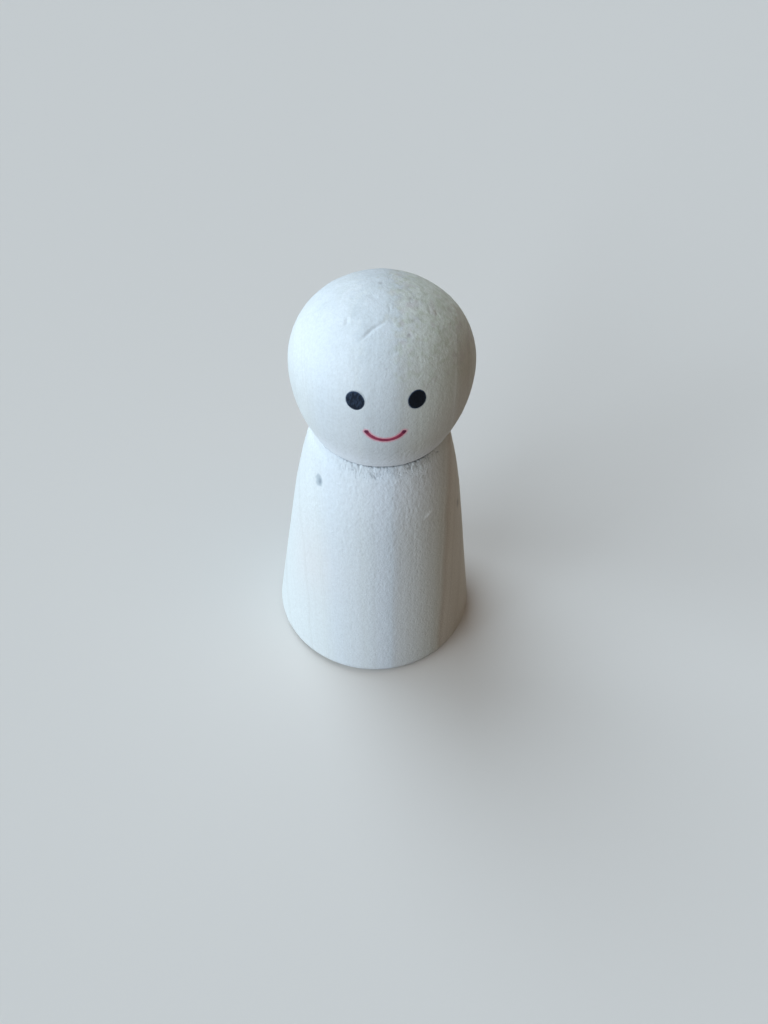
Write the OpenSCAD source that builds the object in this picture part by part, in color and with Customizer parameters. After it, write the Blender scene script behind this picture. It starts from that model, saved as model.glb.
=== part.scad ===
// Peg doll: a round head glued and pegged on a tapered round body, with a printed face.
// Millimetres, +Z up. The origin is the middle of the base, and the face looks towards -Y.

/* [Body] */
// Diameter of the base, measured where its flank would meet the floor if the edge were sharp
base_d = 32; // [27:0.5:38]
// Height of the body from the floor up to the flat seat that carries the head
body_h = 39.5; // [33:0.5:46]
// Diameter of the flat seat on top of the body
seat_d = 13.8; // [12:0.2:15]
// Radius of the round between the flat seat and the flank
shoulder_r = 3; // [2:0.1:4]
// Lean of the flank where it meets the shoulder, in degrees from upright
shoulder_angle = 15.3; // [12:0.1:18]
// Radius of the long arc that eases the straight flank into the shoulder
flank_r = 96; // [70:1:120]
// Radius of the eased edge round the base
base_edge_r = 1.4; // [0.6:0.1:2.4]

/* [Head] */
// Diameter of the head at its widest
head_d = 23.3; // [20:0.1:27]
// Height from the head's flat foot up to its widest place
chin_h = 10.2; // [8:0.1:12]
// Height from the head's widest place up to its crown
crown_h = 10.25; // [9:0.05:12]
// Radius of the long arc from the widest place down to the foot
chin_r = 19.4; // [15:0.1:24]
// How much of the head's smaller half size its tightest arc takes
cheek_share = 0.95; // [0.85:0.01:0.98]

/* [Peg joint] */
// Diameter of the dowel over its ribs
dowel_d = 6; // [5:0.5:7]
// Length of the dowel, half of it in each piece
dowel_l = 16; // [12:1:18]
// Number of flutes that let the glue out
flute_count = 18; // [12:1:24]
// Radius of each flute
flute_r = 0.3; // [0.2:0.05:0.4]
// Chamfer on both ends of the dowel
dowel_chamfer = 0.8; // [0.4:0.1:1]
// Radial clearance between the dowel and its bores
dowel_fit = 0.05; // [0.02:0.01:0.1]
// Gap beyond each end of the dowel for the glue pushed ahead of it
glue_pocket = 1; // [0.5:0.1:1.5]
// Depth of the countersink round the mouth of each bore
countersink = 0.6; // [0.3:0.1:1]
// Thickness of the glue between the seat and the head's foot
glue_line = 0.05; // [0.02:0.01:0.1]

/* [Face] */
// Diameter of each eye dot
eye_d = 2.2; // [1.6:0.1:3]
// Distance between the middles of the two eye dots
eye_gap = 7; // [5:0.1:10]
// Height of the eye dots above the head's foot
eye_h = 12.8; // [11:0.1:15]
// Width of the smile between the middles of its round ends
smile_w = 4.4; // [3:0.1:7]
// Height of the smile's ends above its lowest place
smile_drop = 1.3; // [0.6:0.1:1.5]
// Height of the smile's lowest place above the head's foot
smile_h = 7.25; // [6:0.05:8.5]
// Width of the smile's line
smile_line = 0.48; // [0.3:0.01:0.6]
// Thickness of the printed ink
ink_t = 0.05; // [0.03:0.01:0.1]

/* [Hidden] */
$fn = 128;

// Overrun that carries every cut clear of the surface it leaves
cut_over = 1;
// Most that a rounded outline may fall short of its true arc between two of its points
arc_sag = 0.004;
// Angle of a twist drill's tip, which shapes the blind end of each bore
drill_tip_angle = 118;

// The upper flank's arc: it touches the shoulder's round from within
base_r = base_d / 2;
seat_r = seat_d / 2;
shoulder_z = body_h - shoulder_r;
flank_x = seat_r - (flank_r - shoulder_r) * cos(shoulder_angle);
flank_z = shoulder_z - (flank_r - shoulder_r) * sin(shoulder_angle);

// The straight flank: the line from the base's corner that touches the upper flank's arc
corner_reach = norm([base_r - flank_x, flank_z]);
taper = acos(min(1, flank_r / corner_reach)) - atan2(flank_z, base_r - flank_x);

// The eased edge touches both the floor and the straight flank
edge_x = base_r - base_edge_r * (1 + sin(taper)) / cos(taper);

// The head's places: foot, widest place and crown
foot_z = body_h + glue_line;
widest_z = foot_z + chin_h;
head_r = head_d / 2;

// The two arcs above the widest place. The tight one takes cheek_share of the smaller half
// size, and the wide one follows from it, because the two touch where they meet.
tight_r = cheek_share * min(head_r, crown_h);
wide_shift = abs(head_r - crown_h) * (head_r + crown_h - 2 * tight_r)
    / (2 * (min(head_r, crown_h) - tight_r));
blunt = head_r >= crown_h;
cheek_r = blunt ? tight_r : head_r + wide_shift;
crown_r = blunt ? crown_h + wide_shift : tight_r;
cheek_x = head_r - cheek_r;
crown_z = crown_h - crown_r;
arcs_meet = atan2(abs(crown_z), abs(cheek_x));

// The peg joint: one size of bore, drilled to the same depth in both pieces
bore_r = dowel_d / 2 + dowel_fit;
bore_depth = (dowel_l - glue_line) / 2 + glue_pocket;

// The face
eye_turn = asin(eye_gap / 2 / radius_at(eye_h - chin_h));
eye_lean = asin((eye_h - chin_h) / cheek_r);
smile_r = (pow(smile_w / 2, 2) + pow(smile_drop, 2)) / (2 * smile_drop);
smile_half_angle = asin(smile_w / 2 / smile_r);
smile_z = foot_z + smile_h + smile_r;

// The head's radius at a height above (or, with a minus, below) its widest place
function radius_at(rise) = rise < 0
    ? head_r - chin_r + sqrt(pow(chin_r, 2) - pow(rise, 2))
    : cheek_x + sqrt(pow(cheek_r, 2) - pow(rise, 2));

// A point on a circle, given its middle, its radius and the angle from the x axis
function on_arc(middle, radius, angle) = middle + radius * [cos(angle), sin(angle)];

// Points along a circle from one angle up to, but without, another
function arc_points(middle, radius, start, stop) = start == stop ? [] :
    let (parts = ceil(abs(stop - start) / (2 * acos(1 - arc_sag / radius))))
    [for (i = [0 : parts - 1]) on_arc(middle, radius, start + (stop - start) * i / parts)];

// Outer line of the turned head from foot to crown, or of the head grown all over by a film
function head_line(grow = 0) = concat(
    arc_points([head_r - chin_r, widest_z], chin_r + grow, -asin(chin_h / chin_r), 0),
    arc_points([cheek_x, widest_z], cheek_r + grow, 0, arcs_meet),
    arc_points([0, widest_z + crown_z], crown_r + grow, arcs_meet, 90),
    [[0, widest_z + crown_h + grow]]
);

// Half section of the turned body: arcs and lines that run into one another without a corner
module body_profile() {
    polygon(concat(
        [[0, 0]],
        arc_points([edge_x, base_edge_r], base_edge_r, -90, taper),
        arc_points([flank_x, flank_z], flank_r, taper, shoulder_angle),
        arc_points([seat_r, shoulder_z], shoulder_r, shoulder_angle, 90),
        [[seat_r, body_h], [0, body_h]]
    ));
}

// Half section of the turned head
module head_profile() {
    polygon(concat([[0, foot_z]], head_line()));
}

// A blind drilled bore with a countersunk mouth, cut upwards from z = 0
module peg_bore() {
    tip_h = bore_r / tan(drill_tip_angle / 2);
    rotate_extrude()
        polygon([
            [0, -cut_over],
            [bore_r + countersink + cut_over, -cut_over],
            [bore_r, countersink],
            [bore_r, bore_depth],
            [0, bore_depth + tip_h]
        ]);
}

// Turned body: a tapered cone with an eased foot, a rounded shoulder and a drilled flat seat
module body() {
    color("#E6E2D6")
        difference() {
            rotate_extrude()
                body_profile();
            translate([0, 0, body_h])
                mirror([0, 0, 1])
                    peg_bore();
        }
}

// Turned head: a blunt ball drawn in to a flat foot, half drilled for the dowel
module head() {
    color("#E9E6DC")
        difference() {
            rotate_extrude()
                head_profile();
            translate([0, 0, foot_z])
                peg_bore();
        }
}

// Fluted dowel with chamfered ends, glued half in the body and half in the head
module neck_dowel() {
    dowel_r = dowel_d / 2;
    joint_z = body_h + glue_line / 2;
    color("#D2AC7C")
        translate([0, 0, joint_z - dowel_l / 2])
            intersection() {
                linear_extrude(dowel_l)
                    difference() {
                        circle(dowel_r);
                        for (i = [0 : flute_count - 1])
                            rotate(i * 360 / flute_count)
                                translate([dowel_r, 0])
                                    circle(flute_r, $fn = 24);
                    }
                rotate_extrude()
                    polygon([
                        [0, 0],
                        [dowel_r - dowel_chamfer, 0],
                        [dowel_r, dowel_chamfer],
                        [dowel_r, dowel_l - dowel_chamfer],
                        [dowel_r - dowel_chamfer, dowel_l],
                        [0, dowel_l]
                    ]);
            }
}

// The skin of ink that would cover the head's front between two heights above its foot
module ink_skin(low, high) {
    inner = head_line();
    last = len(inner) - 1;
    rotate([0, 0, 180])
        rotate_extrude(angle = 180)
            intersection() {
                polygon(concat(head_line(ink_t), [for (i = [last : -1 : 0]) inner[i]]));
                translate([0, foot_z + low])
                    square([head_d, high - low]);
            }
}

// A round dot of ink, turned from the middle of the face by an angle about the doll's axis
module eye_dot(turn) {
    intersection() {
        ink_skin(eye_h - eye_d, eye_h + eye_d);
        rotate([0, 0, turn])
            translate([0, -cheek_x, widest_z])
                rotate([90 - eye_lean, 0, 0])
                    cylinder(h = cheek_r + cut_over, d = eye_d);
    }
}

// Eye dot on the doll's own left
module left_eye() {
    color("#1E2126")
        eye_dot(eye_turn);
}

// Eye dot on the doll's own right
module right_eye() {
    color("#262B33")
        eye_dot(-eye_turn);
}

// The smile's line as seen from the front: part of a ring with round ends
module smile_shape() {
    half_line = smile_line / 2;
    left = -90 - smile_half_angle;
    right = -90 + smile_half_angle;
    polygon(concat(
        arc_points([0, 0], smile_r + half_line, left, right),
        arc_points(on_arc([0, 0], smile_r, right), half_line, right, right + 180),
        arc_points([0, 0], smile_r - half_line, right, left),
        arc_points(on_arc([0, 0], smile_r, left), half_line, left + 180, left + 360)
    ));
}

// Smile printed under the eyes
module mouth() {
    color("#A8142C")
        intersection() {
            ink_skin(smile_h - smile_line, smile_h + smile_drop + smile_line);
            translate([0, 0, smile_z])
                rotate([90, 0, 0])
                    linear_extrude(head_d)
                        smile_shape();
        }
}

body();
head();
neck_dowel();
left_eye();
right_eye();
mouth();
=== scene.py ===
# %% [markdown]
# # A turned wooden peg doll
#
# The doll is about 60 mm tall: a tapered body and a blunt round head, both turned from a very pale
# wood, sanded and left bare, with two dots and a smile printed on the head. A dowel hidden inside
# joins the two. Its looks come from small things: the slant of the light over a sanded curve, grain
# that shows only as faint upright bands, fibres torn up where the lathe tool cut in under the head,
# a scratch on the forehead and a pin knot on the shoulder. Each cell makes one of them.
#
# The exact solids come packed from CAD, so the first step loads them.

import bpy
import numpy as np
from mathutils import Matrix, Vector


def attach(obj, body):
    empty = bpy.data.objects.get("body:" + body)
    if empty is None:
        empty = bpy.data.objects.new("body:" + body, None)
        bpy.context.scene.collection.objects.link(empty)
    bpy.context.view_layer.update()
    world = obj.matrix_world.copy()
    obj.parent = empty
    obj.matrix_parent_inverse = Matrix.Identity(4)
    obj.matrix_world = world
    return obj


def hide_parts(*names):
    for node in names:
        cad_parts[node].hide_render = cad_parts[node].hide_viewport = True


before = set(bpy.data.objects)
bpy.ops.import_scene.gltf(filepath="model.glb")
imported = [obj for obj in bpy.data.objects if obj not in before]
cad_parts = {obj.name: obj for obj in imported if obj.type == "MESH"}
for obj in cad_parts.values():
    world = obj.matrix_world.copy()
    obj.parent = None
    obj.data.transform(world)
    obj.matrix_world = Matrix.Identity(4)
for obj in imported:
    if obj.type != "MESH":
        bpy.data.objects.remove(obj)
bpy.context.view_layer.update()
MM = 0.001

# %% [markdown]
# ## The camera
#
# The photograph was taken by hand from close by, above the face and a little to the doll's right.
# A camera that close shows strong perspective: the head looks large and the body tapers less than
# it does in truth. So the place and the focal length matter more than anything else for the
# likeness. A camera can be placed by eye, but these were fitted to the doll's outline, which no eye
# does as well. Yaw turns the camera about the upright axis, pitch tips it down, and roll leans it,
# each as a hand would do it.

# %% Camera
IMAGE_HEIGHT_PX = 1024
FOCAL_PX = 769
SENSOR_MM, NEAREST_MM = 36, 5
CAMERA_PLACE = (-4.42, -76.65, 109.16)
CAMERA_YAW, CAMERA_PITCH, CAMERA_ROLL = 4.095, 48.973, 2.48

camera = bpy.data.objects.new("camera", bpy.data.cameras.new("camera"))
camera.data.sensor_width = SENSOR_MM
camera.data.lens = FOCAL_PX / IMAGE_HEIGHT_PX * SENSOR_MM
camera.data.clip_start = NEAREST_MM * MM
camera.data.dof.use_dof = False
camera.matrix_world = (
    Matrix.Translation([v * MM for v in CAMERA_PLACE])
    @ Matrix.Rotation(np.radians(-CAMERA_YAW), 4, "Z")
    @ Matrix.Rotation(np.radians(90 - CAMERA_PITCH), 4, "X")
    @ Matrix.Rotation(np.radians(CAMERA_ROLL), 4, "Z")
)
bpy.context.scene.collection.objects.link(camera)
bpy.context.scene.camera = camera
print("lens:", round(camera.data.lens, 2), "mm")

# %% [markdown]
# ## Lines to turn
#
# A lathe makes a shape from one line, so each wooden piece starts as the line that its turner
# followed: arcs that run into one another, given by a middle, a radius and two angles. A point on
# the line is a distance from the axis and a height, in millimetres. The line starts and ends on the
# axis, so the surface it sweeps is closed and holds the drilled hole for the dowel too.
#
# Blender's Screw modifier turns a curve as well. Working the points out here keeps them at hand,
# because every one of them is moved a little further on.

# %% Arcs and straights
REPEATED = 1e-6


def arc(middle, radius, start, stop, spacing):
    """Points on a circle: middle plus radius times the cosine and the sine of an angle.

    The angle runs from start to stop, in degrees, in equal steps about `spacing` apart.
    """
    steps = int(np.ceil(abs(np.radians(stop - start)) * radius / spacing))
    angle = np.radians(np.linspace(start, stop, steps + 1))
    return np.c_[middle[0] + radius * np.cos(angle), middle[1] + radius * np.sin(angle)]


def straight(begin, end, spacing):
    """Points on a line: begin plus equal shares of the way to end, about `spacing` apart."""
    steps = int(np.ceil(np.hypot(end[0] - begin[0], end[1] - begin[1]) / spacing))
    return np.linspace(begin, end, steps + 1)


def joined(*parts):
    """The parts one after another, without a point that repeats the one before it."""
    line = np.concatenate(parts)
    apart = np.hypot(*np.diff(line, axis=0).T) > REPEATED
    return line[np.concatenate([[True], apart])]


# %% The body's side
BASE_D, BODY_H, SEAT_D = 32, 39.5, 13.8
SHOULDER_R, SHOULDER_ANGLE, FLANK_R, BASE_EDGE_R = 3, 15.3, 96, 1.4
EDGE_STEP, FLANK_STEP, SHOULDER_STEP = 0.13, 0.19, 0.068

shoulder = (SEAT_D / 2, BODY_H - SHOULDER_R)
inward = FLANK_R - SHOULDER_R
flank = (
    shoulder[0] - inward * np.cos(np.radians(SHOULDER_ANGLE)),
    shoulder[1] - inward * np.sin(np.radians(SHOULDER_ANGLE)),
)
corner_reach = np.hypot(BASE_D / 2 - flank[0], flank[1])
TAPER = np.degrees(
    np.arccos(FLANK_R / corner_reach) - np.arctan2(flank[1], BASE_D / 2 - flank[0])
)
edge_x = BASE_D / 2 - BASE_EDGE_R * (1 + np.sin(np.radians(TAPER))) / np.cos(np.radians(TAPER))

edge_round = arc((edge_x, BASE_EDGE_R), BASE_EDGE_R, -90, TAPER, EDGE_STEP)
upper_flank = arc(flank, FLANK_R, TAPER, SHOULDER_ANGLE, FLANK_STEP)
shoulder_round = arc(shoulder, SHOULDER_R, SHOULDER_ANGLE, 90, SHOULDER_STEP)
lower_flank = straight(edge_round[-1], upper_flank[0], FLANK_STEP)
body_side = joined(edge_round, lower_flank, upper_flank, shoulder_round)
print("taper:", round(TAPER, 2), "degrees; body's side:", len(body_side), "points")

# %% The body's line, with the drilled hole
BORE_R, BORE_DEPTH, COUNTERSINK, DRILL_ANGLE = 3.05, 8.975, 0.6, 118
FLAT_STEP, COUNTERSINK_STEP, BORE_STEP = 0.5, 0.3, 1.5
TIP_H = BORE_R / np.tan(np.radians(DRILL_ANGLE / 2))


def bore(mouth_z, way):
    """A drilled hole from its mouth to its tip: the countersink, the wall and the drill's cone.

    way is -1 for a hole that goes down from its mouth, and 1 for one that goes up.
    """
    corners = (
        (BORE_R + COUNTERSINK, mouth_z),
        (BORE_R, mouth_z + way * COUNTERSINK),
        (BORE_R, mouth_z + way * BORE_DEPTH),
        (0, mouth_z + way * (BORE_DEPTH + TIP_H)),
    )
    steps = (COUNTERSINK_STEP, BORE_STEP, BORE_STEP)
    return joined(*[straight(*ends) for ends in zip(corners, corners[1:], steps)])


body_bore = bore(BODY_H, -1)
body_line = joined(
    straight((0, 0), body_side[0], FLAT_STEP),
    body_side,
    straight(body_side[-1], body_bore[0], FLAT_STEP),
    body_bore,
)
print("body line:", len(body_line), "points")

# %% The head's line
HEAD_D, CHIN_H, CROWN_H, CHIN_R, CHEEK_SHARE = 23.3, 10.2, 10.25, 19.4, 0.95
GLUE, HEAD_STEP = 0.05, 0.12
FOOT_Z = BODY_H + GLUE
WIDEST_Z = FOOT_Z + CHIN_H
head_r = HEAD_D / 2
cheek_r = CHEEK_SHARE * CROWN_H
crown_shift = (head_r - CROWN_H) * (head_r + CROWN_H - 2 * cheek_r) / (2 * (CROWN_H - cheek_r))
arcs_meet = np.degrees(np.arctan2(crown_shift, head_r - cheek_r))
foot_angle = -np.degrees(np.arcsin(CHIN_H / CHIN_R))
foot_r = head_r - CHIN_R + CHIN_R * np.cos(np.radians(foot_angle))

# The foot's rim is rubbed: the line leaves out this much of it, in mm, on both sides
RUBBED = 0.12
chin_from = foot_angle + np.degrees(RUBBED / CHIN_R)
head_side = joined(
    arc((head_r - CHIN_R, WIDEST_Z), CHIN_R, chin_from, 0, HEAD_STEP),
    arc((head_r - cheek_r, WIDEST_Z), cheek_r, 0, arcs_meet, HEAD_STEP),
    arc((0, WIDEST_Z - crown_shift), CROWN_H + crown_shift, arcs_meet, 90, HEAD_STEP),
)
head_side[-1, 0] = 0
head_bore = bore(FOOT_Z, 1)[::-1]
head_line = joined(
    head_bore, straight(head_bore[-1], (foot_r - RUBBED, FOOT_Z), FLAT_STEP), head_side
)
print("foot radius:", round(foot_r, 3), "mm; head line:", len(head_line), "points")

# %% [markdown]
# ## Closed skins
#
# Every piece of the doll that is made here has the same build: rings of points, one after another,
# closed by a point at each end. A turned piece is a stack of rings, a dot of ink is a few rings
# inside one another, and a wood fibre is a tiny tube. One helper joins the rings. Its faces look
# outwards where each ring runs anticlockwise as seen from the last end.
#
# Blender has a modifier for each of these, but one helper makes them all alike, and it is known
# which point of the mesh lies where, so that marks can be pushed in and painted on.

# %% Join rings into a mesh
def skin(name, rings, firsts, lasts):
    """Quads between neighbouring rings, and a fan of triangles at each end.

    rings: closed skins x rings x points x 3. firsts and lasts: the end points of each skin. In mm.
    """
    skins, rows, columns, _ = rings.shape
    points = np.concatenate(
        [firsts[:, None], rings.reshape(skins, rows * columns, 3), lasts[:, None]], axis=1
    )
    here = 1 + np.arange(rows * columns).reshape(rows, columns)
    beside = np.roll(here, -1, axis=1)
    first, last = np.zeros(columns, int), np.full(columns, rows * columns + 1)
    quads = np.stack([here[:-1], beside[:-1], beside[1:], here[1:]], axis=-1).reshape(-1, 4)
    fans = np.concatenate(
        [np.c_[first, beside[0], here[0]], np.c_[last, here[-1], beside[-1]]]
    )
    offsets = points.shape[1] * np.arange(skins)[:, None, None]
    faces = (quads + offsets).reshape(-1, 4).tolist() + (fans + offsets).reshape(-1, 3).tolist()
    mesh = bpy.data.meshes.new(name)
    mesh.from_pydata(points.reshape(-1, 3) * MM, [], faces)
    mesh.polygons.foreach_set("use_smooth", np.ones(len(mesh.polygons), bool))
    mesh.update()
    piece = bpy.data.objects.new(name, mesh)
    bpy.context.scene.collection.objects.link(piece)
    print(name, "has", len(mesh.polygons), "faces")
    return piece


# %% Sweep a line round the axis
# Steps are short within the first angle from the face and long beyond the second, in radians. The
# long ones are this many times as long. Both are worked out on this many angles
FINE_WITHIN, COARSE_BEYOND, BACK_STEP, ANGLES = 0.96, 1.9, 3, 3601


def ease(value, low, high):
    """0 below low, 1 above high, and a smooth rise between; falls instead where low > high."""
    share = np.clip((value - low) / (high - low), 0, 1)
    return share * share * (3 - 2 * share)


def swept(line, columns):
    """Rings of points and their outward directions, for a line turned once round the axis.

    A point is (r sin a, -r cos a, z): the angle a is 0 at the face and grows towards +X. Its steps
    are short near the face, where the camera looks, and long at the back.
    """
    angle = np.linspace(-np.pi, np.pi, ANGLES)
    step = 1 + (BACK_STEP - 1) * ease(np.abs(angle), FINE_WITHIN, COARSE_BEYOND)
    passed = np.cumsum(1 / step) - 1 / step[0]
    angle = np.interp(np.arange(columns) / columns * passed[-1], passed, angle)
    along = np.gradient(line, axis=0)
    along /= np.linalg.norm(along, axis=1)[:, None]
    sin_cos = np.stack([np.sin(angle), -np.cos(angle)], axis=-1)
    points = np.empty((len(line), columns, 3))
    points[..., :2] = line[:, None, :1] * sin_cos
    points[..., 2] = line[:, 1:]
    outward = np.empty_like(points)
    outward[..., :2] = along[:, None, 1:] * sin_cos
    outward[..., 2] = -along[:, :1]
    return points, outward


# %% [markdown]
# ## Noise and marks
#
# Real wood is never quite smooth. Two kinds of unevenness do all of it here. Noise is random but
# smooth: random numbers on a lattice, blended in between, and stretched along the grain where the
# fibres run. A mark is a thing at a place: a dent, or a groove between two points. Both are worked
# out for all points of a surface at once.
#
# A Displace modifier or bump in the material could roughen the wood too. Moving the points keeps
# every mark at the place where the photograph shows it, and keeps it in the exported mesh.

# %% Noise
TABLE_SIZE = 4096
PRIMES = (73856093, 19349663, 83492791)


def noise(points, cell, seed):
    """Random numbers from 0 to 1 at the corners of a lattice, blended smoothly between them.

    cell is the size of a lattice cell in mm, one number or three. The primes scatter the corners
    over a table of random numbers.
    """
    table = np.random.default_rng(seed).random(TABLE_SIZE)
    place = points / np.asarray(cell, float)
    corner = np.floor(place).astype(np.int64)
    share = place - corner
    share = share * share * (3 - 2 * share)
    total = np.zeros(points.shape[:-1])
    for step in np.ndindex(2, 2, 2):
        scattered = np.bitwise_xor.reduce((corner + step) * PRIMES, axis=-1)
        weight = np.prod(np.where(step, share, 1 - share), axis=-1)
        total += weight * table[scattered & (TABLE_SIZE - 1)]
    return total


print("noise at three points:", noise(np.eye(3), cell=0.7, seed=1).round(2))

# %% Marks at a place
SOFT_END = 0.03


def turn_of(points):
    """The angle of each point round the axis, in degrees: 0 at the face, more towards +X."""
    return np.degrees(np.arctan2(points[..., 0], -points[..., 1]))


def radius_of(points):
    """How far each point is from the axis, in mm."""
    return np.hypot(points[..., 0], points[..., 1])


def on_side(side, turn, z):
    """The point on a turned side at an angle from the face, in degrees, and a height."""
    r = np.interp(z, side[:, 1], side[:, 0])
    turn = np.radians(turn)
    return np.stack([r * np.sin(turn), -r * np.cos(turn), z + 0 * r], axis=-1)


def to_stroke(points, begin, end):
    """How far each point lies from the line from begin to end, and how far along it, 0 to 1."""
    along = end - begin
    share = np.clip(((points - begin) @ along) / (along @ along), 0, 1)
    return np.linalg.norm(points - begin - share[..., None] * along, axis=-1), share


def bell(distance, width):
    """A bell curve: 1 at no distance and nearly 0 beyond twice the width."""
    return np.exp(-((distance / width) ** 2))


def soft_ends(along):
    """1 in the middle of a stroke and nearly 0 at both its ends: the root of a sine."""
    return np.sqrt(np.sin(np.pi * np.clip(along, SOFT_END, 1 - SOFT_END)))


def stroke(points, side, begin, end, width):
    """A soft-ended stroke between two places on a side, each an angle and a height."""
    distance, along = to_stroke(points, on_side(side, *begin), on_side(side, *end))
    return bell(distance, width) * soft_ends(along)


def pit(points, side, place, width, tall=1):
    """A round or upright oval pit at a place on a side."""
    return bell(np.linalg.norm((points - on_side(side, *place)) / (1, 1, tall), axis=-1), width)


print("a bell at its width is", bell(1, 1).round(2), "high, and at twice that", bell(2, 1).round(2))

# %% [markdown]
# ## The marks on the body
#
# The photograph shows few marks, which makes each one count: a pin knot on the doll's right
# shoulder, a bright sliver of lifted wood on its left flank and a small bruise further round.
# Close under the head the lathe tool lifted the fibres instead of cutting them, so the shoulder is
# furrowed there along the grain. Where the doll is widest and tallest, wood is only taken away, so
# it stays within its measured size.
#
# Sculpting the marks by hand would work for one doll. As functions they can be moved and made
# deeper or softer one by one, and the same function that dents the wood paints it later.

# %% Growth layers
RING_LEAN, LAYERS_WANDER = 0.026, 0.5
# The place of each proud layer, its width and how far it stands out, in mm
RAISED_RINGS = ((-2.2, 0.12, 0.005), (5.5, 0.1, 0.008), (9.6, 0.12, 0.012))


def across(points):
    """Which growth layer a point is in: its x plus a little of z, as the layers lean, in mm."""
    wander = LAYERS_WANDER * (noise(points, cell=9, seed=21) - 0.5)
    return points[..., 0] + RING_LEAN * points[..., 2] + wander


def raised_rings(points):
    """Hard late wood that sanding left a little proud: a low ridge along each of a few layers."""
    layer = across(points)
    return sum(high * bell(layer - place, width) for place, width, high in RAISED_RINGS)


print("the layers lean by", np.degrees(np.arctan(RING_LEAN)).round(1), "degrees")

# %% The torn zone under the head
# Heights and widths in mm; the turns are degrees from the face
TORN_Z, LOWER_ON_LEFT, RAGGED = 37.9, 0.9, 1.3
TORN_TURN, TORN_AT_BACK = 8, 0.15
UNROLLED_R = 9.5


def torn(points):
    """Where the fibres are torn: 1 close under the head, fading down the flank and to the back."""
    turn = turn_of(points)
    ragged = TORN_Z - LOWER_ON_LEFT * ease(turn, 10, 35)
    ragged = ragged - RAGGED * noise(points, cell=(0.7, 0.7, 9), seed=11)
    in_front = ease(np.abs(turn - TORN_TURN), 62, 38)
    height = ease(points[..., 2], ragged - 0.5, ragged + 1.0)
    return height * (TORN_AT_BACK + (1 - TORN_AT_BACK) * in_front)


def furrows(points):
    """Furrows along the grain: noise 0.14 mm across and 0.9 mm long, squeezed into ups and downs.

    The shoulder is unrolled flat first, so that the furrows follow it round.
    """
    turn = np.radians(turn_of(points))
    flat = np.stack([turn * UNROLLED_R, 0 * turn, points[..., 2]], axis=-1)
    return ease(noise(flat, cell=(0.14, 1, 0.9), seed=12), 0.2, 0.8)


def tear(points, begin, end, width):
    """A torn line on the body from its open end in the seam to a fine end: it fades on the way."""
    distance, along = to_stroke(points, on_side(body_side, *begin), on_side(body_side, *end))
    return bell(distance, width) * np.sqrt(1 - along)


under_head = [on_side(body_side, turn, 39) for turn in (TORN_TURN, 180)]
print("torn under the head, in front and behind:", [torn(point).round(2) for point in under_head])

# %% Places on the body
# A place is a turn from the face in degrees, more towards the doll's left, and a height in mm
KNOT, BRUISE, HANDLED = (-52.4, 34.78), (71.8, 27.1), (-50, 20)
SLIVER = ((32.2, 30.66), (38.2, 31.3))
DARK_TEARS = (
    ((-26.5, 39.1), (-24.5, 38.45)),
    ((-12.2, 39.12), (-10.5, 38.95)),
    ((-9.6, 39.12), (-7, 38.95)),
    ((-9.9, 38.75), (-7.6, 38.1)),
    ((-7.2, 38.5), (-4.8, 37.95)),
    ((-1.8, 39.12), (-1.3, 38.92)),
    ((3.9, 39.1), (4.3, 38.7)),
    ((29.2, 38.85), (30.5, 38.6)),
    ((23.7, 38.95), (23.6, 38.6)),
    ((43.2, 39), (42.1, 38.5)),
    ((53.1, 38.77), (56.9, 38.57)),
)
LIFTED_FIBRES = (
    ((25.6, 38.85), (25.5, 38.35)),
    ((27.8, 38.75), (30.4, 38.15)),
    ((32, 38.82), (32.5, 38.55)),
    ((33.7, 38.68), (33, 38.25)),
    ((37.2, 38.82), (36.6, 38.5)),
    ((34.4, 37.2), (33.9, 36.3)),
    ((22.4, 37.45), (22.9, 36.5)),
)


def short_tears(seed):
    """Strokes that start in the seam at random places, lean either way and are up to 1.35 mm tall.

    They stand in three groups, where the grain met the tool worst.
    """
    rng = np.random.default_rng(seed)
    turn = np.concatenate([rng.normal(-24, 7, 10), rng.uniform(-16, 12, 14), rng.normal(31, 7, 26)])
    top = rng.uniform(39.05, 39.25, turn.size)
    tall = 0.25 + 1.1 * rng.random(turn.size) ** 1.7
    aside = rng.normal(1.2, 2.6, turn.size)
    return [
        ((t, z), (t + a, z - h)) for t, z, h, a in zip(turn, top, tall.tolist(), aside.tolist())
    ]


SHORT_TEARS = short_tears(seed=19)
print("tears:", len(SHORT_TEARS), "short,", len(DARK_TEARS), "dark,", len(LIFTED_FIBRES), "lifted")

# %% The lip under the head
SEAM_R, LIP, LOWER_LIP_ON_LEFT, LIP_WIDTH = 8.5, 0.6, 0.3, 0.42


def burr(points):
    """A ragged lip of bruised fibres that nearly closes the gap under the head.

    It stands 0.5 mm out where the body slips under the head, and 0.2 mm on the doll's left.
    """
    turn = turn_of(points)
    ragged = 0.08 * noise(points, cell=0.6, seed=13) + 0.1 * noise(points, cell=0.25, seed=14)
    fill = LIP - LOWER_LIP_ON_LEFT * ease(turn, 15, 50) * ease(turn, 150, 90) - ragged
    return fill * bell(radius_of(points) - SEAM_R, LIP_WIDTH) * ease(points[..., 2], 37.6, 38.4)


lip_in_front = burr(np.array([0, -SEAM_R, 39]))
print("the lip stands out", lip_in_front.round(2), "mm in front")

# %% Push the body's surface in
# How deep or how high each kind of mark is, in mm
SANDING, SOFT_GRAIN, NAP, SHOULDER_NAP = 0.04, 0.012, 0.028, 0.01
FURROW, SHORT_TEAR, DARK_TEAR, LIFTED = 0.018, 0.04, 0.05, 0.04
KNOT_DEPTH, BRUISE_DEPTH, SLIVER_HEIGHT = 0.1, 0.06, 0.07
FACING_DEPTH, FACING_STEP = 0.015, 1.1
TEAR_WIDTH, FIBRE_WIDTH = 0.07, 0.06


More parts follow.
